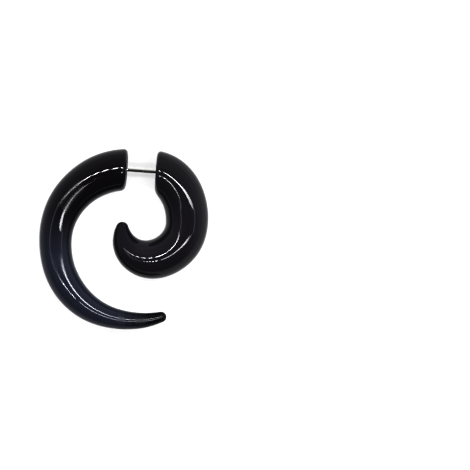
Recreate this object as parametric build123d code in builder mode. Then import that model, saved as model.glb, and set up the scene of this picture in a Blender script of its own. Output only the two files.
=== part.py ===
from build123d import *

import os
from math import cos, radians, sin, tan
from typing import NamedTuple

# A fake ear taper, worn through the lobe as a pair of spirals on a thin post.
# The post runs along X with its middle at the origin. The horn lies behind the lobe, on -X,
# and the curl in front of it, on +X. Both spirals lie flat in the XY plane, and +Z is up
# when the piece lies down. Millimetres and degrees.

# Driving dimensions
LOBE_GAP = 7.0  # free length of the post between the two round faces
POST_DIAMETER = 1.0
THREAD_DEPTH = 0.16  # how far the core of the threaded end lies inside the shank
THREAD_LENGTH = 3.2
ROOT_STEP = 0.2  # how far the fixed end stands proud of the shank
ROOT_LENGTH = 3.4
POST_END_CHAMFER = 0.12

HORN_FACE_DIAMETER = 10.0
HORN_SPIRAL_RADIUS = 17.65  # from the hub of the spiral to the middle of its face
HORN_FACE_ROUNDING = 1.1
CURL_FACE_DIAMETER = 10.2
CURL_SPIRAL_RADIUS = 11.2
CURL_FACE_ROUNDING = 1.0

# Clearances
SEAT_GAP = 0.03  # between the horn's face and the shoulder of the post
THREAD_CLEARANCE = 0.05  # round the threaded core in the horn
GLUE_GAP = 0.03  # round the fixed end in the curl
BLIND_GAP = 0.15  # beyond each end of the post

shank_radius = POST_DIAMETER / 2
core_radius = shank_radius - THREAD_DEPTH
root_radius = shank_radius + ROOT_STEP


class Section(NamedTuple):
    """One section of a spiral, cut by a plane through its hub."""

    turn: float  # degrees round the hub from the face
    spine: float  # distance of the centre from the hub, as a share of the spiral radius
    width: float  # along the plane, as a share of the face diameter
    height: float  # along Z, as a share of the width


class Tip(NamedTuple):
    """The round section where the domed tip starts, square to the spiral."""

    turn: float  # degrees round the hub from the face
    spine: float  # as a share of the spiral radius
    width: float  # diameter, as a share of the face diameter
    lean: float  # degrees by which the spiral closes on its hub there
    taper: float  # degrees between the side of the spiral and its centre line there


class Spiral(NamedTuple):
    """A tapering spiral with a flat round face at its thick end."""

    hand: int  # 1 turns through +X, -1 through -X
    radius: float
    face_diameter: float
    face_rounding: float
    sections: tuple
    tip: Tip


HORN = Spiral(
    hand=-1,
    radius=HORN_SPIRAL_RADIUS,
    face_diameter=HORN_FACE_DIAMETER,
    face_rounding=HORN_FACE_ROUNDING,
    sections=(
        Section(turn=0, spine=1.000, width=1.000, height=1.000),
        Section(turn=20, spine=0.970, width=0.975, height=0.997),
        Section(turn=40, spine=0.941, width=0.915, height=0.998),
        Section(turn=60, spine=0.918, width=0.857, height=0.998),
        Section(turn=80, spine=0.899, width=0.796, height=1.000),
        Section(turn=100, spine=0.891, width=0.761, height=1.000),
        Section(turn=120, spine=0.908, width=0.746, height=0.998),
        Section(turn=140, spine=0.936, width=0.707, height=0.996),
        Section(turn=160, spine=0.974, width=0.612, height=0.994),
        Section(turn=180, spine=1.014, width=0.486, height=0.990),
        Section(turn=200, spine=1.074, width=0.362, height=0.984),
    ),
    tip=Tip(turn=212.9, spine=1.127, width=0.247, lean=-16.9, taper=7.0),
)

CURL = Spiral(
    hand=1,
    radius=CURL_SPIRAL_RADIUS,
    face_diameter=CURL_FACE_DIAMETER,
    face_rounding=CURL_FACE_ROUNDING,
    sections=(
        Section(turn=0, spine=1.000, width=1.000, height=1.000),
        Section(turn=15, spine=0.928, width=1.060, height=0.960),
        Section(turn=30, spine=0.861, width=1.071, height=0.959),
        Section(turn=60, spine=0.760, width=1.020, height=0.988),
        Section(turn=90, spine=0.731, width=0.988, height=1.000),
        Section(turn=120, spine=0.765, width=0.985, height=0.995),
        Section(turn=150, spine=0.809, width=0.970, height=0.993),
        Section(turn=180, spine=0.861, width=0.914, height=0.997),
        Section(turn=210, spine=0.851, width=0.722, height=0.985),
        Section(turn=240, spine=0.740, width=0.432, height=0.940),
    ),
    tip=Tip(turn=252.4, spine=0.671, width=0.280, lean=8.0, taper=18.0),
)


def face_plane(spiral: Spiral) -> Plane:
    """The plane of the flat round face, looking out of the spiral towards the lobe."""
    return Plane(origin=(spiral.hand * LOBE_GAP / 2, 0, 0), z_dir=(-spiral.hand, 0, 0))


def section_plane(spiral: Spiral, turn: float, spine: float, lean: float = 0.0) -> Plane:
    """The plane of a section: local X points away from the hub, and the normal along the spiral."""
    hub = Vector(spiral.hand * LOBE_GAP / 2, -spiral.radius, 0)
    outward = Vector(spiral.hand * sin(radians(turn)), cos(radians(turn)), 0)
    along = Vector(spiral.hand * cos(radians(turn)), -sin(radians(turn)), 0)
    return Plane(
        origin=hub + outward * (spine * spiral.radius),
        x_dir=outward * cos(radians(lean)) + along * sin(radians(lean)),
        z_dir=along * cos(radians(lean)) - outward * sin(radians(lean)),
    )


def spiral_solid(spiral: Spiral) -> Part:
    """Sections lofted from the face to the tip, a dome on the tip and a rounded face edge."""
    tip = spiral.tip
    tip_plane = section_plane(spiral, tip.turn, tip.spine, tip.lean)
    tip_radius = tip.width * spiral.face_diameter / 2
    dome_radius = tip_radius / cos(radians(tip.taper))
    dome_centre = (-tip_radius * tan(radians(tip.taper)), 0)

    with BuildPart() as solid:
        for row in spiral.sections:
            half_width = row.width * spiral.face_diameter / 2
            with BuildSketch(section_plane(spiral, row.turn, row.spine)):
                Ellipse(half_width, half_width * row.height)
        with BuildSketch(tip_plane):
            Circle(tip_radius)
        loft()
        with BuildSketch(Plane(tip_plane.origin, x_dir=tip_plane.z_dir, z_dir=(0, 0, 1))):
            with BuildLine():
                dome = CenterArc(dome_centre, dome_radius, 0, 90 - tip.taper)
                Polyline(dome @ 1, (0, 0), dome @ 0)
            make_face()
        revolve(axis=Axis(tip_plane.origin, tip_plane.z_dir))
        fillet(solid.faces().filter_by(Plane.YZ).edges(), radius=spiral.face_rounding)
    return solid.part


# The long tapered horn, with a blind bore that the post screws into
with BuildPart() as taper_horn:
    add(spiral_solid(HORN))
    with Locations(face_plane(HORN)):
        Hole(radius=core_radius + THREAD_CLEARANCE, depth=THREAD_LENGTH + BLIND_GAP)

# The front curl, with a blind bore that holds the fixed end of the post
with BuildPart() as front_curl:
    add(spiral_solid(CURL))
    with Locations(face_plane(CURL)):
        Hole(radius=root_radius + GLUE_GAP, depth=SEAT_GAP + ROOT_LENGTH + BLIND_GAP)

# The steel post: threaded core, shank through the lobe, and the wider end fixed in the curl
with BuildPart() as steel_post:
    shank_start = SEAT_GAP - LOBE_GAP / 2
    shank_end = LOBE_GAP / 2 + SEAT_GAP
    post_start = shank_start - THREAD_LENGTH
    post_end = shank_end + ROOT_LENGTH
    with BuildSketch(Plane.XY):
        with BuildLine():
            Polyline(
                (post_start, 0),
                (post_start, core_radius - POST_END_CHAMFER),
                (post_start + POST_END_CHAMFER, core_radius),
                (shank_start, core_radius),
                (shank_start, shank_radius),
                (shank_end, shank_radius),
                (shank_end, root_radius),
                (post_end - POST_END_CHAMFER, root_radius),
                (post_end, root_radius - POST_END_CHAMFER),
                (post_end, 0),
                close=True,
            )
        make_face()
    revolve(axis=Axis.X)

os.makedirs("parts", exist_ok=True)
for piece, node_name in (
    (taper_horn, "taper_horn"),
    (front_curl, "front_curl"),
    (steel_post, "steel_post"),
):
    piece.part.label = node_name
    export_step(piece.part, f"parts/{node_name}.step")
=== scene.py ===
"""The looks of a fake ear taper: a long horn and a front curl of black acrylic on a thin steel post.

The post runs along X with its middle at the origin. The horn lies on -X, behind the lobe, and the curl
on +X, in front of it, and both spirals lie flat on a pale floor with +Z up. Each solid of the frame is
replaced by a finer surface of the same form, worked out from the same short table of sections.
Sizes are in millimetres where a field says so, and each mesh is written in metres.
"""

import logging
from collections.abc import Iterable
from dataclasses import dataclass, field
from enum import Enum
from typing import Any, NamedTuple

import bpy
import numpy as np
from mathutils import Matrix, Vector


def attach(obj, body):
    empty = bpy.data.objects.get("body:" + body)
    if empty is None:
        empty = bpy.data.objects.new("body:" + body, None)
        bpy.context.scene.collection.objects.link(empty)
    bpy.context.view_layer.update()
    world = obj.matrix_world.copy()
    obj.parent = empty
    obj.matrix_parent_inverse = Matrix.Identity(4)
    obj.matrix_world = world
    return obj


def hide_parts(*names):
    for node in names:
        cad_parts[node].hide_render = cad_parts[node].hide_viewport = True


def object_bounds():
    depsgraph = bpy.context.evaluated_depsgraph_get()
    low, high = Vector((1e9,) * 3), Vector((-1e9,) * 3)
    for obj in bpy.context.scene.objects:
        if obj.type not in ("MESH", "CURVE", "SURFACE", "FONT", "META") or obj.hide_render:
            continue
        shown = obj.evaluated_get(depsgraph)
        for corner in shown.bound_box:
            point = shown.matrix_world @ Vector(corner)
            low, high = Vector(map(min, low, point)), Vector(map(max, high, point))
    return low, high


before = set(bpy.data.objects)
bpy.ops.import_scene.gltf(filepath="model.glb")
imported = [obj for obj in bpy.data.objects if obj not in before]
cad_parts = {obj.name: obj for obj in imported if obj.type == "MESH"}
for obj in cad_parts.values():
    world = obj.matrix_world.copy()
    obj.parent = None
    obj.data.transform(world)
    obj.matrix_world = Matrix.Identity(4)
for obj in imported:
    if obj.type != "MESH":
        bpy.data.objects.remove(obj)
cad_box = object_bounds()

log = logging.getLogger("ear_taper")

MM = 0.001
FULL_TURN = 2 * np.pi
QUARTER_TURN = FULL_TURN / 4
UP = np.array([0.0, 0.0, 1.0])
STRAIGHTENED = "straightened"  # the attribute with each point's place on the spiral laid out straight

FACE_DISTANCE_MM = 3.5  # from the middle of the post to either face
EDGE_STEPS = 18  # rings on the rounded edge of a face
DOME_STEPS = 22  # rings on the dome of a tip
FACE_STEPS = 12  # rings on a flat face
LIP_STEPS = 6  # rings on the rounded mouth of a bore
BOTTOM_SHARES = (0.35, 0.7, 0.97)  # rings on the bottom of a bore, as shares of its radius
RUN_STEPS = 2001  # points at which the length of a spiral is added up
TURN_ROUNDS = 6  # rounds that find the turn at a depth
THREAD_FLAT = 0.12  # share of a thread's slope that is flat at its crest, and again at its root

WHOLE = (0.0, 1.0)  # a share that runs from none to all
FALLING = (1.0, 0.0)  # and one that runs back
ACRYLIC_IOR = 1.49
NOISE_ROUGHNESS = 0.55  # how much each finer octave of a noise counts
MIX_COLOURS = (6, 7)  # the input sockets of a Mix node that take colours
MIX_RESULT = 2  # the output socket that gives the mixed one

Array = np.ndarray
Colour = tuple[float, float, float]
Point = tuple[float, float, float]
Span = tuple[float, float]
Row = tuple[float, ...]
Socket = bpy.types.NodeSocket
Inputs = dict[str | int, Any]


class LobeSide(Enum):
    """Which side of the lobe a spiral is worn on, as the sign of its X."""

    BEHIND = -1
    IN_FRONT = 1


class Slot(Enum):
    """The record's material slots."""

    HORN = "acrylic_horn"
    CURL = "acrylic_curl"
    POST = "post_steel"


def ring_angles(count: int) -> Array:
    """Spreads a number of points evenly over one turn."""
    return np.linspace(0.0, FULL_TURN, count, endpoint=False)


def smooth_step(share: Array) -> Array:
    """Returns 3s^2 - 2s^3 of a share held between 0 and 1."""
    held = np.clip(share, 0.0, 1.0)
    return held * held * (3.0 - 2.0 * held)


def thread_wave(turns: Array) -> Array:
    """Rises from 0 to 1 and falls back once a turn, with flat crests and roots as a cut thread has."""
    triangle = 1.0 - np.abs(2.0 * np.mod(turns, 1.0) - 1.0)
    return smooth_step((triangle - THREAD_FLAT) / (1.0 - 2.0 * THREAD_FLAT))


def natural_spline(knots: Array, values: Array, where: Array) -> Array:
    """Runs a smooth curve through a few rows of a table.

    Formula: between two knots the curve is the straight blend of their values plus a cubic share of the
    bending at each. The bendings solve one linear system, which makes the slope run on through every
    knot and leaves no bending at the two ends.

    Args:
        knots: where the rows stand, rising.
        values: the value in each row.
        where: the places to read the curve at, of any shape.

    Returns:
        The value of the curve at each place.
    """
    gaps = np.diff(knots)
    inner = np.arange(1, len(knots) - 1)
    system = np.eye(len(knots))
    system[inner, inner - 1] = gaps[:-1]
    system[inner, inner] = 2.0 * (gaps[:-1] + gaps[1:])
    system[inner, inner + 1] = gaps[1:]
    pull = np.zeros(len(knots))
    pull[inner] = 6.0 * np.diff(np.diff(values) / gaps)
    bending = np.linalg.solve(system, pull)
    span = np.clip(np.searchsorted(knots, where) - 1, 0, len(gaps) - 1)
    before = (knots[span + 1] - where) / gaps[span]
    after = 1.0 - before
    straight = before * values[span] + after * values[span + 1]
    bent = (before**3 - before) * bending[span] + (after**3 - after) * bending[span + 1]
    return straight + bent * gaps[span] ** 2 / 6.0


class Rings(NamedTuple):
    """Rings of points round a piece, in millimetres. Both arrays have the shape (rings, points, 3)."""

    points: Array  # the points in the frame
    laid_out: Array  # the same points on the piece laid out straight along X

    @classmethod
    def joined(cls, parts: Iterable["Rings"]) -> "Rings":
        """Puts rings one behind the other."""
        return cls(*(np.concatenate(arrays) for arrays in zip(*parts)))


@dataclass(frozen=True)
class RingSkin:
    """A closed skin of rings, with a pole at either end."""

    rings: Rings  # the rings, in order
    outward: bool  # True if a ring turns right-handed about the way from ring to ring
    first_pole: Array  # the point that closes the first ring
    last_pole: Array | None = None  # the same for the last ring, or None if the skin is open there
    second_finish_rings: int = 0  # how many rings from the first pole on take the second material
    sharp_over_degrees: float = 40.0  # edges that turn by more than this stay crisp

    def faces(self) -> list[list[int]]:
        """Joins each ring to the next with quads, and the end rings to their poles with triangles.

        Returns:
            The corners of every face, turned so that its normal points out of the piece.
        """
        count, around = self.rings.points.shape[:2]
        here = np.arange(around)
        after = (here + 1) % around
        start = np.arange(count - 1)[:, None] * around
        quads = np.stack([start + here, start + around + here, start + around + after, start + after], -1)
        quads = quads.reshape(-1, 4)
        triangles = np.stack([np.full(around, count * around), here, after], -1)
        if self.last_pole is not None:
            base = (count - 1) * around
            last = np.stack([np.full(around, count * around + 1), base + after, base + here], -1)
            triangles = np.concatenate([triangles, last])
        if not self.outward:
            quads = quads[:, ::-1]
            triangles = triangles[:, ::-1]
        return quads.tolist() + triangles.tolist()

    def material_numbers(self, face_count: int) -> Array:
        """Numbers the material of every face, in the order of the faces.

        Args:
            face_count: how many faces the skin has.

        Returns:
            1 for each face up to the last ring of the second finish, and 0 for the rest.
        """
        count, around = self.rings.points.shape[:2]
        quads = (count - 1) * around
        numbers = np.zeros(face_count, int)
        if self.second_finish_rings:
            numbers[: (self.second_finish_rings - 1) * around] = 1
            numbers[quads : quads + around] = 1
        return numbers

    def to_object(self, name: str) -> bpy.types.Object:
        """Writes the skin into a mesh object at the origin, in metres and shaded smooth.

        Args:
            name: the name of the object and of its mesh.

        Returns:
            The new object, linked to the scene.
        """
        poles = np.array([pole for pole in (self.first_pole, self.last_pole) if pole is not None])
        points, laid_out = (np.concatenate([rings.reshape(-1, 3), poles]) * MM for rings in self.rings)
        mesh = bpy.data.meshes.new(name)
        mesh.from_pydata(points.tolist(), [], self.faces())
        mesh.polygons.foreach_set("material_index", self.material_numbers(len(mesh.polygons)))
        attribute = mesh.attributes.new(STRAIGHTENED, "FLOAT_VECTOR", "POINT")
        attribute.data.foreach_set("vector", laid_out.astype(np.float32).ravel())
        mesh.shade_smooth()
        mesh.set_sharp_from_angle(angle=np.radians(self.sharp_over_degrees))
        mesh.validate()
        piece = bpy.data.objects.new(name, mesh)
        bpy.context.scene.collection.objects.link(piece)
        return piece


@dataclass(frozen=True)
class Grain:
    """How fine a noise is, and how far it is drawn out along X."""

    along: float  # waves a metre along X
    across: float  # waves a metre along Y and Z
    detail: float  # how many octaves of finer noise lie on the first


class Nodes:
    """A node tree, and short calls that add nodes to it and join them."""

    def __init__(self, tree: bpy.types.NodeTree) -> None:
        """Takes the tree to work on."""
        self.tree = tree

    def fill(self, node: bpy.types.Node, values: Inputs) -> None:
        """Sets input sockets of a node, and links those that are given an output socket.

        Args:
            node: the node.
            values: a value or an output socket for each input, by its name or number.
        """
        for key, value in values.items():
            if isinstance(value, Socket):
                self.tree.links.new(value, node.inputs[key])
            else:
                node.inputs[key].default_value = value

    def add(self, kind: str, values: Inputs | None = None, **settings: Any) -> bpy.types.Node:
        """Adds a node.

        Args:
            kind: Blender's name for the kind of node.
            values: what its inputs are set or linked to.
            settings: the node's own properties.

        Returns:
            The new node.
        """
        node = self.tree.nodes.new(kind)
        for key, value in settings.items():
            setattr(node, key, value)
        self.fill(node, values or {})
        return node

    def ranged(self, value: Socket, before: Span, after: Span) -> Socket:
        """Maps one range of numbers smoothly onto another.

        Args:
            value: the socket with the number.
            before: the range that it comes in.
            after: the range that it leaves in.

        Returns:
            The socket with the mapped number.
        """
        values = {"Value": value, "From Min": before[0], "From Max": before[1]}
        values |= {"To Min": after[0], "To Max": after[1]}
        return self.add("ShaderNodeMapRange", values, interpolation_type="SMOOTHSTEP").outputs["Result"]

    def mixed(self, share: Socket, first: Colour | Socket, second: Colour | Socket) -> Socket:
        """Mixes two colours by a share.

        Args:
            share: the socket with the share of the second colour.
            first: a colour, or a socket that gives one.
            second: a colour, or a socket that gives one.

        Returns:
            The socket with the mixed colour.
        """
        colours = [c if isinstance(c, Socket) else (*c, 1.0) for c in (first, second)]
        values = {"Factor": share, **dict(zip(MIX_COLOURS, colours))}
        return self.add("ShaderNodeMix", values, data_type="RGBA").outputs[MIX_RESULT]

    def noise(self, vector: Socket, grain: Grain) -> Socket:
        """Adds a noise that is drawn out along X.

        Args:
            vector: the coordinates, in metres.
            grain: how fine and how long it is.

        Returns:
            The socket with the noise, from 0 to 1.
        """
        scale = (grain.along, grain.across, grain.across)
        place = self.add("ShaderNodeMapping", {"Vector": vector, "Scale": scale}).outputs["Vector"]
        values = {"Vector": place, "Scale": 1.0, "Detail": grain.detail, "Roughness": NOISE_ROUGHNESS}
        return self.add("ShaderNodeTexNoise", values).outputs["Fac"]


class Shader(Nodes):
    """The node tree of one material, round a Principled shader."""

    def __init__(self, name: str) -> None:
        """Starts a material that holds only a Principled shader and the output.

        Args:
            name: the name of the material.
        """
        self.material = bpy.data.materials.new(name)
        self.material.use_nodes = True
        super().__init__(self.material.node_tree)
        self.tree.nodes.clear()
        self.surface = self.add("ShaderNodeBsdfPrincipled")
        self.add("ShaderNodeOutputMaterial", {"Surface": self.surface.outputs["BSDF"]})

    def set(self, **values: Any) -> None:
        """Sets or links sockets of the Principled shader, with _ for each space in a name."""
        self.fill(self.surface, {name.replace("_", " "): value for name, value in values.items()})

    def laid_out_place(self) -> Socket:
        """Reads the place on the piece laid out straight, in metres."""
        return self.add("ShaderNodeAttribute", attribute_name=STRAIGHTENED).outputs["Vector"]

    def object_place(self) -> Socket:
        """Reads Object coordinates, in metres."""
        return self.add("ShaderNodeTexCoord").outputs["Object"]

    def distance(self, vector: Socket) -> Socket:
        """Measures the length of a vector."""
        return self.add("ShaderNodeVectorMath", {0: vector}, operation="LENGTH").outputs["Value"]

    def relief(self, *heights: tuple[Socket, float]) -> None:
        """Joins bumps one after the other to the shader's normal.

        Args:
            heights: a socket from 0 to 1 and the height of the relief in millimetres, for each bump.
        """
        below = {}
        for height, tall_mm in heights:
            values = {"Strength": 1.0, "Distance": tall_mm * MM, "Height": height, **below}
            below = {"Normal": self.add("ShaderNodeBump", values).outputs["Normal"]}
        self.fill(self.surface, below)


class DullPlace(NamedTuple):
    """A stretch of a spiral that the wheel reached less well."""

    start_mm: float  # distance along the spiral at which it begins
    end_mm: float  # distance at which it ends
    roughness: float = 0.32  # how much is added to the roughness there
    edge_mm: float = 0.8  # the length over which it sets in and fades


@dataclass(frozen=True)
class BuffedAcrylic:
    """Cast acrylic, nearly black, turned to shape and buffed until it mirrors."""

    name: str  # the name of the material
    face_tint: Colour  # the colour at the face
    middle_tint: Colour  # the colour halfway along the spiral
    tip_tint: Colour  # the colour at the tip
    cloud_tint: Colour  # the colour of the faint clouds that run through the middle colour
    length_mm: float  # of the spiral, from the face to the tip
    middle_span: Span = (0.05, 0.5)  # shares of the length between which the middle colour comes in
    tip_span: Span = (0.7, 1.0)  # shares of the length between which the tip's colour comes in
    gloss: float = 0.42  # how strongly it mirrors, where 0.5 is plain acrylic fresh from the wheel
    roughness: Span = (0.025, 0.065)  # from a clean place to a smear
    clouds: Grain = Grain(along=55.0, across=420.0, detail=3.0)  # of the clouds
    cloud_range: Span = (0.42, 0.72)  # the stretch of their noise that shows
    smears: Grain = Grain(along=260.0, across=900.0, detail=4.0)  # of the smears left by hand and wheel
    smear_range: Span = (0.35, 0.75)  # the stretch of their noise that shows
    waves: Grain = Grain(along=160.0, across=260.0, detail=1.0)  # of the uneven polish
    wave_mm: float = 0.009  # height of the uneven polish
    hairlines: Grain = Grain(along=700.0, across=14000.0, detail=2.0)  # of the buffing marks
    hairline_mm: float = 0.00012  # depth of the buffing marks
    dull_places: tuple[DullPlace, ...] = ()  # stretches of the spiral that the wheel reached less well

    def lengths(self, span: Span) -> Span:
        """Turns two shares of the length into metres."""
        return (span[0] * self.length_mm * MM, span[1] * self.length_mm * MM)

    def material(self) -> bpy.types.Material:
        """Tints the acrylic along the spiral and lays clouds, smears and buffing marks along it.

        Formula: a dull place adds its roughness times a step up before it and a step down behind it.

        Returns:
            The material, which reads the piece's straightened attribute.
        """
        shader = Shader(self.name)
        place = shader.laid_out_place()
        run = shader.add("ShaderNodeSeparateXYZ", {"Vector": place}).outputs["X"]
        to_middle = shader.ranged(run, self.lengths(self.middle_span), WHOLE)
        to_tip = shader.ranged(run, self.lengths(self.tip_span), WHOLE)
        clouds = shader.ranged(shader.noise(place, self.clouds), self.cloud_range, WHOLE)
        tint = shader.mixed(clouds, self.middle_tint, self.cloud_tint)
        tint = shader.mixed(to_middle, self.face_tint, tint)
        tint = shader.mixed(to_tip, tint, self.tip_tint)
        rough = shader.ranged(shader.noise(place, self.smears), self.smear_range, self.roughness)
        for start, end, added, edge in self.dull_places:
            rise = shader.ranged(run, ((start - edge) * MM, start * MM), (0.0, added))
            fall = shader.ranged(run, (end * MM, (end + edge) * MM), FALLING)
            dulled = shader.add("ShaderNodeMath", {0: rise, 1: fall, 2: rough}, operation="MULTIPLY_ADD")
            rough = dulled.outputs["Value"]
        shader.set(IOR=ACRYLIC_IOR, Specular_IOR_Level=self.gloss, Base_Color=tint, Roughness=rough)
        waves = shader.noise(place, self.waves)
        hairlines = shader.noise(place, self.hairlines)
        shader.relief((waves, self.wave_mm), (hairlines, self.hairline_mm))
        return shader.material


@dataclass(frozen=True)
class SandedAcrylic:
    """The same acrylic where it is faced off and bored, left satin, with the marks of the turning."""

    name: str  # the name of the material
    deep: Colour  # the colour between the marks
    pale: Colour  # the colour on the marks
    gloss: float = 0.2  # how strongly it mirrors
    roughness: Span = (0.42, 0.55)  # from between the marks to on them
    marks_a_metre: float = 5200.0  # how close the marks lie
    mark_detail: float = 3.0  # octaves of finer marks
    mark_range: Span = (0.35, 0.7)  # the stretch of their noise that shows
    mark_mm: float = 0.0025  # height of the marks

    def material(self) -> bpy.types.Material:
        """Lays fine rings round the post's axis.

        Formula: the distance from the axis is a number that a noise in one dimension reads.

        Returns:
            The material, which reads the piece's straightened attribute.
        """
        shader = Shader(self.name)
        without_x = {0: shader.laid_out_place(), 1: (0.0, 1.0, 1.0)}
        flat = shader.add("ShaderNodeVectorMath", without_x, operation="MULTIPLY").outputs["Vector"]
        values = {"W": shader.distance(flat), "Scale": self.marks_a_metre, "Detail": self.mark_detail}
        rings = shader.add("ShaderNodeTexNoise", values, noise_dimensions="1D").outputs["Fac"]
        marks = shader.ranged(rings, self.mark_range, WHOLE)
        shader.set(IOR=ACRYLIC_IOR, Specular_IOR_Level=self.gloss)
        shader.set(Base_Color=shader.mixed(marks, self.deep, self.pale))
        shader.set(Roughness=shader.ranged(marks, WHOLE, self.roughness))
        shader.relief((rings, self.mark_mm))
        return shader.material


@dataclass(frozen=True)
class DrawnSteel:
    """Stainless wire, drawn through a die and polished, with fine lines along it."""

    name: str  # the name of the material
    bright: Colour  # the colour of clean metal
    dull: Colour  # the colour in the drawn lines
    roughness: Span = (0.02, 0.05)  # from clean metal to the drawn lines
    lines: Grain = Grain(along=500.0, across=26000.0, detail=3.0)  # of the drawn lines
    line_range: Span = (0.35, 0.7)  # the stretch of their noise that shows
    line_mm: float = 0.00003  # depth of the drawn lines

    def material(self) -> bpy.types.Material:
        """Lays drawn lines along X over bright metal.

        Returns:
            The material, which reads Object coordinates.
        """
        shader = Shader(self.name)
        lines = shader.noise(shader.object_place(), self.lines)
        worn = shader.ranged(lines, self.line_range, WHOLE)
        shader.set(Metallic=1.0, Base_Color=shader.mixed(worn, self.bright, self.dull))
        shader.set(Roughness=shader.ranged(worn, WHOLE, self.roughness))
        shader.relief((lines, self.line_mm))
        return shader.material


HORN_ACRYLIC = BuffedAcrylic(
    name="horn_acrylic",
    face_tint=(0.013, 0.011, 0.015),
    middle_tint=(0.037, 0.040, 0.059),
    tip_tint=(0.006, 0.0065, 0.009),
    cloud_tint=(0.042, 0.045, 0.062),
    length_mm=64.4,
    middle_span=(0.25, 0.50),
    tip_span=(0.78, 0.98),
    dull_places=(
        DullPlace(start_mm=12.0, end_mm=18.0, roughness=0.12, edge_mm=2.0),
        DullPlace(start_mm=30.5, end_mm=33.5, roughness=0.09, edge_mm=2.5),
        DullPlace(start_mm=52.9, end_mm=54.0),
        DullPlace(start_mm=57.2, end_mm=59.2),
        DullPlace(start_mm=62.8, end_mm=64.4),
    ),
)

CURL_ACRYLIC = BuffedAcrylic(
    name="curl_acrylic",
    face_tint=(0.022, 0.021, 0.026),
    middle_tint=(0.024, 0.022, 0.028),
    tip_tint=(0.021, 0.019, 0.026),
    cloud_tint=(0.034, 0.031, 0.040),
    length_mm=41.7,
)

HORN_FACE = SandedAcrylic("horn_face", deep=(0.014, 0.012, 0.016), pale=(0.026, 0.023, 0.029))

CURL_FACE = SandedAcrylic("curl_face", deep=(0.014, 0.013, 0.016), pale=(0.026, 0.024, 0.029))

POST_STEEL = DrawnSteel("post_steel", bright=(0.84, 0.84, 0.81), dull=(0.64, 0.64, 0.61))

Finish = BuffedAcrylic | SandedAcrylic | DrawnSteel


@dataclass
class Piece:
    """A piece of the ear taper, which replaces one solid of the frame."""

    name: str  # the name of the piece
    node: str  # the node of that solid
    body: str  # the body that it rides on
    slot: Slot  # the record's slot for its finish
    finishes: tuple[Finish, ...]  # what it is finished with, the main finish first

    def skin(self) -> RingSkin:
        """Gives the closed skin, which each kind of piece works out for itself."""
        raise NotImplementedError

    def build(self) -> bpy.types.Object:
        """Makes the piece, dresses it and puts it on its body.

        Returns:
            The finished object.
        """
        piece = self.skin().to_object(self.name)
        for finish in self.finishes:
            piece.data.materials.append(finish.material())
        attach(piece, self.body)
        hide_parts(self.node)
        return piece


@dataclass(frozen=True)
class SectionTable:
    """The sections of a spiral, from its face to its domed tip.

    Each is an oval cut by a plane through the hub. The last one, where the dome starts, is round and
    square to the spiral.
    """

    turns: Row  # degrees round the hub from the face
    spines: Row  # distances of the centres from the hub, as shares of the spiral radius
    widths: Row  # along the plane, as shares of the face diameter
    heights: Row  # along Z, as shares of the width
    tip_lean: float  # degrees by which the spiral closes on its hub at the last section
    tip_taper: float  # degrees between the side of the spiral and its centre line there

    def read(self, column: Row | Array, turn: Array) -> Array:
        """Reads a smooth curve through one column of the table, at turns in radians."""
        return natural_spline(np.radians(self.turns), np.array(column), turn)


@dataclass(frozen=True)
class Bore:
    """The blind round hole in a face. A threaded one has its groove cut into the wall."""

    radius_mm: float  # of the wall, or of the crests of its thread
    depth_mm: float  # from the face to the bottom
    pitch_mm: float = 0.0  # of the thread, or 0 for a plain bore
    groove_mm: float = 0.0  # how deep the thread is cut
    mouth_rounding_mm: float = 0.04  # of the edge where the hole meets the face
    wall_steps: int = 14  # rings on the wall

    def wall(self, depth: Array, angle: Array) -> Array:
        """Gives the radius of the wall.

        Formula: the radius of the bore plus the groove's depth times a wave that repeats with the pitch
        and shifts by one pitch round the bore, so that it winds. The groove runs out at both ends.

        Args:
            depth: distance from the face in millimetres.
            angle: angle round the bore, as an array that combines with the depths.

        Returns:
            The radius in millimetres.
        """
        if self.pitch_mm == 0.0:
            return self.radius_mm + 0.0 * (depth + angle)
        run_out = smooth_step(depth / self.pitch_mm) * smooth_step((self.depth_mm - depth) / self.pitch_mm)
        wave = thread_wave(depth / self.pitch_mm - angle / FULL_TURN)
        return self.radius_mm + self.groove_mm * run_out * wave


@dataclass(frozen=True)
class HandWave:
    """A slow wave in the surface, as buffing by hand leaves it."""

    length_mm: float  # from crest to crest along the spiral
    turns: int  # how often it repeats round the section
    phase: float  # where it starts, in radians
    share: float  # its share of the ripple's height

    def height(self, run: Array, angle: Array) -> Array:
        """Gives the sine of the distance over the length plus the angle times the turns."""
        return self.share * np.sin(run * FULL_TURN / self.length_mm + self.turns * angle + self.phase)


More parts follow.
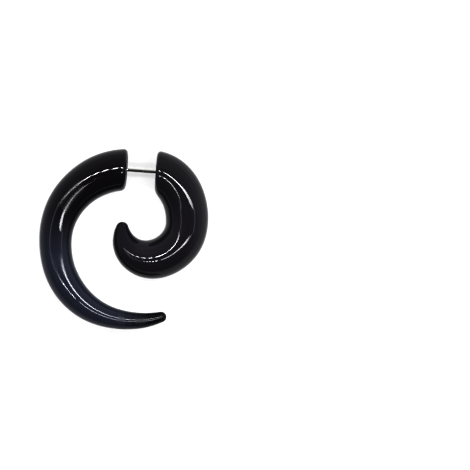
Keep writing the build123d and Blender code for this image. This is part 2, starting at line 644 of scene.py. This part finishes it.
@dataclass
class TaperedSpiral(Piece):
    """A spiral of oval sections that runs from a flat round face to a domed tip."""

    lobe_side: LobeSide  # which side of the lobe it is worn on
    spiral_radius_mm: float  # from the hub of the spiral to the middle of its face
    face_diameter_mm: float  # of the flat face, its rounded edge included
    face_rounding_mm: float  # radius of the rounded edge
    bore: Bore  # the hole in the face
    table: SectionTable  # its sections
    crown_shift: float  # how far the crest leans away from the hub, as a share of the half width
    crown_pinch: float  # how much narrower the section is at its crest, as a share of the half width
    crown_reach_mm: float  # the length behind the face over which both come in
    around: int = 128  # points in a ring
    side_rings: int = 330  # rings from the rounded edge to the tip
    ripple_mm: float = 0.012  # height of the waves that buffing by hand leaves
    waves: tuple[HandWave, ...] = (
        HandWave(length_mm=18.2, turns=1, phase=0.4, share=0.5),
        HandWave(length_mm=8.2, turns=-1, phase=1.1, share=0.2),
        HandWave(length_mm=29.5, turns=2, phase=0.0, share=0.3),
    )
    fade_mm: float = 3.0  # the length behind the face over which the waves come in

    @property
    def angles(self) -> Array:
        """The angles of a ring's points, with the seam on the underside."""
        return ring_angles(self.around) - QUARTER_TURN

    @property
    def hand(self) -> int:
        """1 for a spiral that turns through +X, -1 through -X."""
        return self.lobe_side.value

    @property
    def tip_turn(self) -> float:
        """The turn at which the dome starts, in radians."""
        return np.radians(self.table.turns[-1])

    def spine(self, turn: Array) -> Array:
        """Distance from the hub to the centre of the section at a turn, in millimetres."""
        return self.spiral_radius_mm * self.table.read(self.table.spines, turn)

    def half_width(self, turn: Array) -> Array:
        """Half the section's width in the plane of the spiral, in millimetres."""
        return self.face_diameter_mm / 2 * self.table.read(self.table.widths, turn)

    def half_height(self, turn: Array) -> Array:
        """Half the section's height along Z, in millimetres."""
        shares = np.multiply(self.table.widths, self.table.heights)
        return self.face_diameter_mm / 2 * self.table.read(shares, turn)

    def outward(self, turn: Array) -> Array:
        """The unit vector that points away from the hub at a turn."""
        return np.stack([self.hand * np.sin(turn), np.cos(turn), 0.0 * turn], -1)

    def centre(self, turn: Array) -> Array:
        """The centre of the section at a turn."""
        hub = np.array([self.hand * FACE_DISTANCE_MM, -self.spiral_radius_mm, 0.0])
        return hub + self.outward(turn) * self.spine(turn)[..., None]

    def axes(self, turn: Array) -> tuple[Array, Array]:
        """Gives the directions across and along the spiral at a turn.

        Formula: away from the hub and round it, both turned by a lean that grows smoothly from nothing
        at the last section but one to the tip's own.

        Args:
            turn: turn round the hub.

        Returns:
            The unit vector across the spiral, in the section's plane, and the one along it.
        """
        start = np.radians(self.table.turns[-2])
        share = smooth_step((turn - start) / (self.tip_turn - start))
        lean = (np.radians(self.table.tip_lean) * share)[..., None]
        outward = self.outward(turn)
        onward = np.stack([self.hand * np.cos(turn), -np.sin(turn), 0.0 * turn], -1)
        across = outward * np.cos(lean) + onward * np.sin(lean)
        return across, onward * np.cos(lean) - outward * np.sin(lean)

    def run(self, turn: Array) -> Array:
        """Measures the centre line from the face to a turn, added up over short steps.

        Args:
            turn: turn round the hub.

        Returns:
            The length in millimetres.
        """
        steps = np.linspace(0.0, self.tip_turn, RUN_STEPS)
        lengths = np.linalg.norm(np.diff(self.centre(steps), axis=0), axis=1)
        return np.interp(turn, steps, np.concatenate([[0.0], np.cumsum(lengths)]))

    def ripple(self, run: Array, angle: Array) -> Array:
        """Adds up the waves and brings them in behind the face, in millimetres."""
        waves = self.ripple_mm * sum(wave.height(run, angle) for wave in self.waves)
        return waves * smooth_step(run / self.fade_mm)

    def side(self, turn: Array, angle: Array) -> Rings:
        """Gives points on the side of the spiral.

        Formula: the section's centre, plus its half width times the cosine of the angle along the
        section's plane, plus its half height times the sine of the angle along Z. Over the upper half
        the square of the sine shifts each point away from the hub by a share of the half width, and
        draws it in towards the middle by another.

        Args:
            turn: turn round the hub, as an array.
            angle: angle round the section, an array of the same shape.

        Returns:
            The rings.
        """
        run = self.run(turn)
        swell = self.ripple(run, angle)
        crown = smooth_step(run / self.crown_reach_mm) * np.maximum(np.sin(angle), 0.0) ** 2
        reach = np.cos(angle) + crown * (self.crown_shift - self.crown_pinch * np.cos(angle))
        wide = (self.half_width(turn) + swell) * reach
        high = (self.half_height(turn) + swell) * np.sin(angle)
        points = self.centre(turn) + self.axes(turn)[0] * wide[..., None] + UP * high[..., None]
        return Rings(points, np.stack([run, wide, high], -1))

    def turn_at_depth(self, depth: Array, angle: Array) -> Array:
        """Finds the turn at which the side lies at a depth behind the plane of the face.

        Formula: the plane of the face goes through the hub, so the depth is the distance from the hub
        times the sine of the turn. The turn is found by a few rounds of the arcsine.

        Args:
            depth: distance from the plane of the face in millimetres.
            angle: angle round the section, an array that combines with the depths.

        Returns:
            The turn for each depth and angle.
        """
        turn = np.zeros(np.broadcast(depth, angle).shape)
        for _ in range(TURN_ROUNDS):
            turn = np.arcsin(depth / (self.spine(turn) + self.half_width(turn) * np.cos(angle)))
        return turn

    def face_plane_rings(self, radii: Array, depths: Array) -> Rings:
        """Gives rings round the post's axis that lie square to it.

        Args:
            radii: radius of each ring, or of each point of each ring, in millimetres.
            depths: depth of each ring behind the face in millimetres.

        Returns:
            The rings.
        """
        radii = np.broadcast_to(radii if radii.ndim == 2 else radii[:, None], (len(depths), self.around))
        deep = np.broadcast_to(depths[:, None], radii.shape)
        across = (radii * np.cos(self.angles), radii * np.sin(self.angles))
        points = np.stack([self.hand * (FACE_DISTANCE_MM + deep), *across], -1)
        return Rings(points, np.stack([deep, *across], -1))

    def bore_rings(self) -> Rings:
        """Gives the rings of the bottom, the wall and the rounded mouth of the bore.

        Formula: flat rings on the bottom, rings of the wall's radius up to the mouth, and a quarter
        circle that turns the wall into the face.

        Returns:
            The rings.
        """
        lip = self.bore.mouth_rounding_mm
        bottom = np.array(BOTTOM_SHARES) * self.bore.radius_mm
        wall_depths = np.linspace(self.bore.depth_mm, lip, self.bore.wall_steps)
        wall = self.bore.wall(wall_depths[:, None], self.angles[None, :])
        bend = np.linspace(0.0, QUARTER_TURN, LIP_STEPS)[1:]
        mouth = self.bore.radius_mm + lip * (1.0 - np.cos(bend))
        rows = (
            (bottom, np.full(len(bottom), self.bore.depth_mm)),
            (wall, wall_depths),
            (mouth, lip * (1.0 - np.sin(bend))),
        )
        return Rings.joined(self.face_plane_rings(radii, depths) for radii, depths in rows)

    def edge_rings(self) -> Rings:
        """Gives the rings of the rounded edge between the face and the side.

        Formula: a quarter circle, from the plane of the face to the side. At each of its depths the
        point of the side at that depth is drawn in towards the middle of the section, by what the
        quarter circle leaves there.

        Returns:
            The rings.
        """
        bend = np.linspace(0.0, QUARTER_TURN, EDGE_STEPS)[1:, None]
        depth = self.face_rounding_mm * (1.0 - np.cos(bend))
        inset = self.face_rounding_mm * (1.0 - np.sin(bend))
        angle = np.broadcast_to(self.angles, (len(bend), self.around))
        points, laid_out = self.side(self.turn_at_depth(depth, angle), angle)
        middle = self.centre(np.arcsin(depth / self.spiral_radius_mm))[..., 1]
        kept = 1.0 - inset / np.hypot(points[..., 1] - middle, points[..., 2])
        points[..., 1] = middle + (points[..., 1] - middle) * kept
        points[..., 2] *= kept
        laid_out[..., 1:] *= kept[..., None]
        return Rings(points, laid_out)

    def long_rings(self) -> Rings:
        """Gives the rings from the end of the rounded edge to the tip.

        Formula: each point's turn goes in even steps from where the rounded edge ends to the tip.

        Returns:
            The rings.
        """
        share = np.linspace(0.0, 1.0, self.side_rings + 1)[1:, None]
        angle = np.broadcast_to(self.angles, (self.side_rings, self.around))
        start = self.turn_at_depth(np.full((1, 1), self.face_rounding_mm), self.angles[None, :])
        return self.side(start + (self.tip_turn - start) * share, angle)

    def dome(self) -> tuple[Rings, Array]:
        """Gives the domed tip.

        Formula: part of a sphere that leaves the last section in line with the taper, so its radius is
        the section's radius over the cosine of the taper.

        Returns:
            The rings, and the point of the tip.
        """
        taper = np.radians(self.table.tip_taper)
        radius = self.table.widths[-1] * self.face_diameter_mm / 2
        ball = radius / np.cos(taper)
        rise = np.linspace(taper, QUARTER_TURN, DOME_STEPS)[1:-1, None]
        ring_radius = ball * np.cos(rise)
        ahead = ball * np.sin(rise) - radius * np.tan(taper)
        across, forward = self.axes(self.tip_turn)
        wide = ring_radius * np.cos(self.angles)
        high = ring_radius * np.sin(self.angles)
        centre = self.centre(self.tip_turn)
        points = centre + across * wide[..., None] + UP * high[..., None] + forward * ahead[..., None]
        run = self.run(self.tip_turn) + np.broadcast_to(ahead, wide.shape)
        tip = centre + forward * (ball - radius * np.tan(taper))
        return Rings(points, np.stack([run, wide, high], -1)), tip

    def skin(self) -> RingSkin:
        """Joins the bore, the face, the rounded edge, the side and the dome into one closed skin.

        Returns:
            The skin, from the bottom of the bore to the tip.
        """
        inner = self.bore.radius_mm + self.bore.mouth_rounding_mm
        outer = self.face_diameter_mm / 2 - self.face_rounding_mm
        face_radii = np.linspace(inner, outer, FACE_STEPS)[1:]
        face = self.face_plane_rings(face_radii, np.zeros(len(face_radii)))
        bore = self.bore_rings()
        dome, tip = self.dome()
        return RingSkin(
            rings=Rings.joined([bore, face, self.edge_rings(), self.long_rings(), dome]),
            outward=self.lobe_side is LobeSide.BEHIND,
            first_pole=np.array([self.hand * (FACE_DISTANCE_MM + self.bore.depth_mm), 0.0, 0.0]),
            last_pole=tip,
            second_finish_rings=len(bore.points) + len(face.points),
        )


@dataclass
class TaperHorn(TaperedSpiral):
    """The long tapered horn behind the lobe, with the threaded bore that the post screws into."""

    name: str = "horn_spiral"
    node: str = "taper_horn"
    body: str = "horn"
    slot: Slot = Slot.HORN
    finishes: tuple[Finish, ...] = (HORN_ACRYLIC, HORN_FACE)
    lobe_side: LobeSide = LobeSide.BEHIND
    spiral_radius_mm: float = 17.65
    face_diameter_mm: float = 10.0
    face_rounding_mm: float = 1.1
    bore: Bore = Bore(radius_mm=0.39, depth_mm=3.35, pitch_mm=0.25, groove_mm=0.07, wall_steps=170)
    table: SectionTable = SectionTable(
        turns=(0, 20, 40, 60, 80, 100, 120, 140, 160, 180, 200, 212.9),
        spines=(1, 0.970, 0.941, 0.918, 0.899, 0.891, 0.908, 0.936, 0.974, 1.014, 1.074, 1.127),
        widths=(1, 0.975, 0.915, 0.857, 0.796, 0.761, 0.746, 0.707, 0.612, 0.486, 0.362, 0.247),
        heights=(1, 0.997, 0.998, 0.998, 1, 1, 0.998, 0.996, 0.994, 0.990, 0.984, 1),
        tip_lean=-16.9,
        tip_taper=7.0,
    )
    crown_shift: float = 0.02
    crown_pinch: float = 0.03
    crown_reach_mm: float = 30.0


@dataclass
class FrontCurl(TaperedSpiral):
    """The short fat curl in front of the lobe, with the plain bore that holds the post's fixed end."""

    name: str = "curl_spiral"
    node: str = "front_curl"
    body: str = "curl_and_post"
    slot: Slot = Slot.CURL
    finishes: tuple[Finish, ...] = (CURL_ACRYLIC, CURL_FACE)
    lobe_side: LobeSide = LobeSide.IN_FRONT
    spiral_radius_mm: float = 11.2
    face_diameter_mm: float = 10.2
    face_rounding_mm: float = 1.0
    bore: Bore = Bore(radius_mm=0.73, depth_mm=3.58)
    table: SectionTable = SectionTable(
        turns=(0, 15, 30, 60, 90, 120, 150, 180, 210, 240, 252.4),
        spines=(1, 0.928, 0.861, 0.760, 0.731, 0.765, 0.809, 0.861, 0.851, 0.740, 0.671),
        widths=(1, 1.060, 1.071, 1.020, 0.988, 0.985, 0.970, 0.914, 0.722, 0.432, 0.280),
        heights=(1, 0.960, 0.959, 0.988, 1, 0.995, 0.993, 0.997, 0.985, 0.940, 1),
        tip_lean=8.0,
        tip_taper=18.0,
    )
    crown_shift: float = 0.05
    crown_pinch: float = 0.11
    crown_reach_mm: float = 3.0


@dataclass
class SteelPost(Piece):
    """The post: a threaded end, the shank through the lobe, and the wider end fixed in the curl."""

    name: str = "post_wire"
    node: str = "steel_post"
    body: str = "curl_and_post"
    slot: Slot = Slot.POST
    finishes: tuple[Finish, ...] = (POST_STEEL,)
    shank_start_mm: float = -3.47  # X of the shoulder that the horn comes up to
    shank_end_mm: float = 3.53  # X where the fixed end begins
    shank_radius_mm: float = 0.5  # of the stretch through the lobe
    thread_length_mm: float = 3.2  # of the threaded end
    thread_crest_mm: float = 0.375  # radius of the thread's crests
    thread_root_mm: float = 0.29  # radius of the thread's roots
    thread_lead: float = 0.35  # how much of the step up to a full thread is done at the chamfer
    pitch_mm: float = 0.25  # from crest to crest
    fixed_length_mm: float = 3.4  # of the wider end
    fixed_radius_mm: float = 0.7  # of the wider end
    chamfer_mm: float = 0.12  # of both ends
    edge_mm: float = 0.03  # of the small rounding on each shoulder
    around: int = 72  # points in a ring
    thread_steps: int = 190  # rings on the thread
    shank_steps: int = 36  # rings on the shank
    fixed_steps: int = 16  # rings on the fixed end

    @property
    def start_mm(self) -> float:
        """X of the threaded end."""
        return self.shank_start_mm - self.thread_length_mm

    @property
    def end_mm(self) -> float:
        """X of the fixed end."""
        return self.shank_end_mm + self.fixed_length_mm

    def thread_rings(self) -> tuple[Array, Array]:
        """Gives the X and the radius of each point of the threaded end.

        Formula: the radius goes from root to crest with a wave of X over the pitch, shifted by one
        pitch round the post, and both ends run out into the root.

        Returns:
            X and radius in millimetres, each with the shape (rings, points in a ring).
        """
        first = self.start_mm + self.chamfer_mm
        along = np.linspace(first, self.shank_start_mm, self.thread_steps)[:, None]
        wave = thread_wave(along / self.pitch_mm - ring_angles(self.around) / FULL_TURN)
        run_in = smooth_step((along - self.start_mm - self.chamfer_mm) / self.pitch_mm + self.thread_lead)
        run_out = smooth_step((self.shank_start_mm - along) / self.pitch_mm)
        height = (self.thread_crest_mm - self.thread_root_mm) * wave * run_in * run_out
        return np.broadcast_to(along, height.shape), self.thread_root_mm + height

    def plain_rings(self) -> tuple[Array, Array]:
        """Gives the plain rings, from the shoulder to the end in the curl.

        Returns:
            The X and the radius of each ring in millimetres.
        """
        start, end, corner = self.shank_start_mm, self.shank_end_mm, self.edge_mm
        shank = np.linspace(start + corner, end - corner, self.shank_steps)
        wide = np.linspace(end + corner, self.end_mm - self.chamfer_mm, self.fixed_steps)
        along = [start, *shank, end, end, *wide, self.end_mm]
        radii = [self.shank_radius_mm - corner, *[self.shank_radius_mm] * (len(shank) + 1)]
        radii += [self.fixed_radius_mm - corner, *[self.fixed_radius_mm] * len(wide)]
        radii += [self.fixed_radius_mm - self.chamfer_mm]
        return np.array(along), np.array(radii)

    def skin(self) -> RingSkin:
        """Joins the tip, the thread, the shank and the fixed end into one closed skin.

        Returns:
            The skin, from the threaded end to the fixed one.
        """
        angle = ring_angles(self.around)
        ones = np.ones((1, self.around))
        tip_radius = self.thread_root_mm - self.chamfer_mm / 2
        thread_along, thread_radius = self.thread_rings()
        plain_along, plain_radius = self.plain_rings()
        along = np.concatenate([self.start_mm * ones, thread_along, plain_along[:, None] * ones])
        radius = np.concatenate([tip_radius * ones, thread_radius, plain_radius[:, None] * ones])
        rings = np.stack([along, radius * np.cos(angle), radius * np.sin(angle)], -1)
        return RingSkin(
            rings=Rings(rings, rings),
            outward=False,
            first_pole=np.array([self.start_mm, 0.0, 0.0]),
            last_pole=np.array([self.end_mm, 0.0, 0.0]),
            sharp_over_degrees=35.0,
        )


@dataclass(frozen=True)
class SoftLight:
    """A flat light that shines straight down."""

    name: str  # the name of the light
    middle_mm: Point  # its middle
    size_mm: Span  # its length along X and its width along Y
    radiance: float  # how bright its surface is, against 1 for the floor

    def place(self) -> None:
        """Adds the light to the scene."""
        data = bpy.data.lights.new(self.name, "AREA")
        data.shape = "RECTANGLE"
        data.size, data.size_y = self.size_mm[0] * MM, self.size_mm[1] * MM
        data.energy = self.radiance * np.pi * data.size * data.size_y
        light = bpy.data.objects.new(self.name, data)
        light.location = tuple(value * MM for value in self.middle_mm)
        bpy.context.scene.collection.objects.link(light)


class Stretch(NamedTuple):
    """One evenly bright stretch of a strip of lamps."""

    start_mm: float  # X where it begins
    end_mm: float  # X where it ends
    width_mm: float  # how wide it is
    share: float  # how bright it is, as a share of the strip's radiance


@dataclass(frozen=True)
class LedStrip:
    """A strip of small lamps along X. Its left part shows single lamps, and the rest is even."""

    name: str  # the start of its lights' names
    y_mm: float  # where it lies across the box
    radiance: float  # how bright it is, against 1 for the floor
    lamps_from_mm: float  # X where the single lamps begin
    lamp_share: float  # how bright a lamp is, as a share of the strip's radiance
    end_share: float  # how bright the first lamp is, as a share of a full one
    fade_mm: float  # the length over which a lamp would go from dark to full
    edges_mm: Row  # X of the edges of the even stretches, from left to right
    widths_mm: Row  # how wide each stretch is
    shares: Row  # how bright each is, as a share of the strip's radiance, with 0 for a dark gap
    lamps_to_mm: float = -10.0  # X where the single lamps end
    pitch_mm: float = 16.7  # from lamp to lamp
    lamp_mm: float = 8.5  # length of one lamp
    lamp_width_mm: float = 16.0  # width of one lamp
    height_mm: float = 250.0  # of the even stretches above the middle of the post
    lamp_drop_mm: float = 2.0  # how far under them the single lamps hang

    def lamps(self) -> list[Stretch]:
        """Spaces the single lamps evenly, dimmer towards the left end.

        Returns:
            A stretch for each lamp.
        """
        starts = np.arange(self.lamps_from_mm, self.lamps_to_mm - self.lamp_mm, self.pitch_mm)
        full = np.minimum(self.end_share + (starts - self.lamps_from_mm) / self.fade_mm, 1.0)
        lamps = zip(starts.tolist(), (self.lamp_share * full).tolist())
        return [Stretch(start, start + self.lamp_mm, self.lamp_width_mm, share) for start, share in lamps]

    def stretches(self) -> list[Stretch]:
        """Gives the even stretches that have a light."""
        rows = zip(self.edges_mm, self.edges_mm[1:], self.widths_mm, self.shares)
        return [Stretch(*row) for row in rows if row[-1] > 0.0]

    def place(self) -> None:
        """Adds a light for every lamp and every even stretch."""
        parts = [(part, self.height_mm - self.lamp_drop_mm) for part in self.lamps()]
        parts += [(part, self.height_mm) for part in self.stretches()]
        for index, (part, height) in enumerate(parts):
            middle = ((part.start_mm + part.end_mm) / 2, self.y_mm, height)
            size = (part.end_mm - part.start_mm, part.width_mm)
            SoftLight(f"{self.name}_{index}", middle, size, self.radiance * part.share).place()


FAR_STRIP = LedStrip(
    name="far_strip",
    y_mm=43.0,
    radiance=38.0,
    lamps_from_mm=-122.5,
    lamp_share=1.75,
    end_share=0.5,
    fade_mm=70.0,
    edges_mm=(-215, -165, -120, -14, -3, 70, 95, 120, 145, 180, 215, 250),
    widths_mm=(18, 18, 18, 0, 18, 28, 36, 42, 38, 34, 26),
    shares=(0.20, 0.45, 0.07, 0, 1.00, 0.76, 0.62, 0.52, 0.42, 0.38, 0.18),
)

NEAR_STRIP = LedStrip(
    name="near_strip",
    y_mm=-73.0,
    radiance=26.0,
    lamps_from_mm=-89.1,
    lamp_share=2.1,
    end_share=0.35,
    fade_mm=45.0,
    edges_mm=(-190, -120, -14, 1, 60, 85, 110, 135, 165, 235),
    widths_mm=(18, 18, 0, 18, 24, 29, 32, 30, 20),
    shares=(0.12, 0.08, 0, 0.80, 0.88, 0.84, 0.70, 0.45, 0.15),
)

SIDE_GLOWS = (
    SoftLight("right_glow", middle_mm=(285.0, -15.0, 250.0), size_mm=(48.0, 120.0), radiance=2.6),
    SoftLight("left_glow", middle_mm=(-205.0, -15.0, 250.0), size_mm=(44.0, 120.0), radiance=2.2),
)


@dataclass(frozen=True)
class BoxAir:
    """The light that comes from all round, as a ramp over the height of its direction."""

    low: Colour = (0.75, 0.75, 0.76)  # the colour at the horizon
    middle: Colour = (0.40, 0.40, 0.41)  # the colour higher up
    middle_height: float = 0.78  # the height of the middle colour, from 0 at the horizon to 1 overhead
    top: Colour = (0.08, 0.08, 0.085)  # the colour overhead, where the camera looks in
    front_to_back: Span = (-0.7, 0.5)  # how far back a direction points at either end of the ramp
    strength: Span = (0.12, 1.15)  # of the light from the open front and from the back

    def hang(self) -> None:
        """Makes the world: the ramp over the height, times a ramp from the front to the back."""
        world = bpy.data.worlds.new("box_air")
        bpy.context.scene.world = world
        world.use_nodes = True
        nodes = Nodes(world.node_tree)
        direction = nodes.add("ShaderNodeTexCoord").outputs["Generated"]
        split = nodes.add("ShaderNodeSeparateXYZ", {"Vector": direction}).outputs
        ramp = nodes.add("ShaderNodeValToRGB", {"Fac": split["Z"]})
        ramp.color_ramp.interpolation = "EASE"
        ramp.color_ramp.elements[0].color = (*self.low, 1.0)
        ramp.color_ramp.elements[1].color = (*self.top, 1.0)
        ramp.color_ramp.elements.new(self.middle_height).color = (*self.middle, 1.0)
        strength = nodes.ranged(split["Y"], self.front_to_back, self.strength)
        background = world.node_tree.nodes["Background"]
        nodes.fill(background, {"Color": ramp.outputs["Color"], "Strength": strength})


@dataclass
class LightBox:
    """The floor, the lights and the camera of a small product box, seen from straight above."""

    frame_pixels: float = 470.0  # the side of the photograph
    post_pixel: Span = (141.45, 170.75)  # where the middle of the post is in the photograph
    face_pixels: float = 42.0  # how wide the horn's face is there
    face_mm: float = 10.0  # the same width on the part
    roll_degrees: float = 4.118  # how far the post is turned in the photograph
    lens_mm: float = 240.0  # focal length of the camera
    sensor_mm: float = 36.0  # width of its sensor
    clip_m: Span = (0.01, 10.0)  # how near and how far it sees
    floor_mm: float = field(default_factory=lambda: cad_box[0].z / MM)  # at the part's lowest point
    floor_start_mm: float = 8.0  # radius of the innermost ring of the floor
    floor_radius_mm: float = 450.0  # of the level floor, before it curves up
    cove_radius_mm: float = 1100.0  # where the floor ends
    cove_height_mm: float = 130.0  # how high it ends
    level_rings: int = 24  # rings on the level floor
    cove_rings: int = 40  # rings on the rest
    floor_around: int = 96  # points in a ring of the floor
    paper_white: float = 0.28  # how much light the floor throws back
    paper_roughness: float = 0.9  # of the floor
    paper_glow: Span = (0.52, 0.62)  # the floor's own light, near the post and away from it; the dimmer glow near the post is a painted shade under it
    post_shade_reach_mm: Span = (5.3, 9.0)  # from the middle of the post to where the glow starts and stops growing, which bounds the painted shade under the post
    strips: tuple[LedStrip, ...] = (FAR_STRIP, NEAR_STRIP)  # the strips of lamps overhead
    glows: tuple[SoftLight, ...] = SIDE_GLOWS  # the weak lights at their ends
    air: BoxAir = BoxAir()  # the light from all round
    exposure_stops: float = 0.3  # by how much the picture is brightened
    gamma: float = 0.55  # the contrast of the print, where less than 1 is harder

    def frame_centre(self) -> Span:
        """Finds the point of the part's frame under the centre of the photograph.

        Returns:
            X and Y in millimetres.
        """
        scale = self.face_mm / self.face_pixels
        right = (self.frame_pixels / 2 - self.post_pixel[0]) * scale
        up = (self.post_pixel[1] - self.frame_pixels / 2) * scale
        roll = np.radians(self.roll_degrees)
        x = right * np.cos(roll) - up * np.sin(roll)
        y = right * np.sin(roll) + up * np.cos(roll)
        return float(x), float(y)

    def camera(self) -> None:
        """Puts the camera straight over the centre of the photograph, rolled with it."""
        data = bpy.data.cameras.new("photo_camera")
        data.lens = self.lens_mm
        data.sensor_width = self.sensor_mm
        data.clip_start, data.clip_end = self.clip_m
        camera = bpy.data.objects.new("photo_camera", data)
        bpy.context.scene.collection.objects.link(camera)
        wide = self.frame_pixels * self.face_mm / self.face_pixels
        distance = wide * self.lens_mm / self.sensor_mm
        x, y = self.frame_centre()
        camera.location = (x * MM, y * MM, distance * MM)
        camera.rotation_euler = (0.0, 0.0, np.radians(self.roll_degrees))
        bpy.context.scene.camera = camera

    def floor(self) -> None:
        """Lays the floor, which curves up far away so that no horizon shows.

        Formula: rings round the frame's centre whose height is level out to one radius and then rises
        with the square of the distance beyond it.
        """
        level = np.linspace(self.floor_start_mm, self.floor_radius_mm, self.level_rings)
        rising = np.linspace(self.floor_radius_mm, self.cove_radius_mm, self.cove_rings + 1)[1:]
        radii = np.concatenate([level, rising])[:, None]
        beyond = (radii - self.floor_radius_mm) / (self.cove_radius_mm - self.floor_radius_mm)
        angle = ring_angles(self.floor_around)
        height = self.floor_mm + self.cove_height_mm * np.maximum(beyond, 0.0) ** 2 + 0.0 * angle
        x, y = self.frame_centre()
        rings = np.stack([x + radii * np.cos(angle), y + radii * np.sin(angle), height], -1)
        middle = np.array([x, y, self.floor_mm])
        floor = RingSkin(Rings(rings, rings), outward=False, first_pole=middle).to_object("floor")
        floor.data.materials.append(self.paper())

    def paper(self) -> bpy.types.Material:
        """Makes plain white paper, with a little light of its own that grows away from the post, so that a
        painted shade lies under the post.

        Returns:
            The material of the floor.
        """
        shader = Shader("floor_paper")
        white = self.paper_white
        shader.set(Base_Color=(white, white, white, 1.0), Emission_Color=(1.0, 1.0, 1.0, 1.0))
        shader.set(Roughness=self.paper_roughness, Specular_IOR_Level=0.0)
        reach = (self.post_shade_reach_mm[0] * MM, self.post_shade_reach_mm[1] * MM)
        far = shader.distance(shader.object_place())
        # painted shade: the glow is dimmer right under the post, standing in for the post's shadow on the
        # floor
        shader.set(Emission_Strength=shader.ranged(far, reach, self.paper_glow))
        return shader.material

    def exposure(self) -> None:
        """Prints the picture with the contrast of a whitened product photograph."""
        view = bpy.context.scene.view_settings
        view.view_transform = "Standard"
        view.exposure = self.exposure_stops
        view.gamma = self.gamma

    def build(self) -> None:
        """Sets up the whole box."""
        self.camera()
        self.floor()
        for light in (*self.strips, *self.glows):
            light.place()
        self.air.hang()
        self.exposure()


def main() -> None:
    """Builds the box and each piece in order, and reports each."""
    logging.basicConfig(level=logging.INFO, format="%(message)s")
    LightBox().build()
    for maker in (TaperHorn(), FrontCurl(), SteelPost()):
        piece = maker.build()
        log.info("%s on %s: %d faces", piece.name, maker.body, len(piece.data.polygons))


if __name__ == "__main__":
    main()
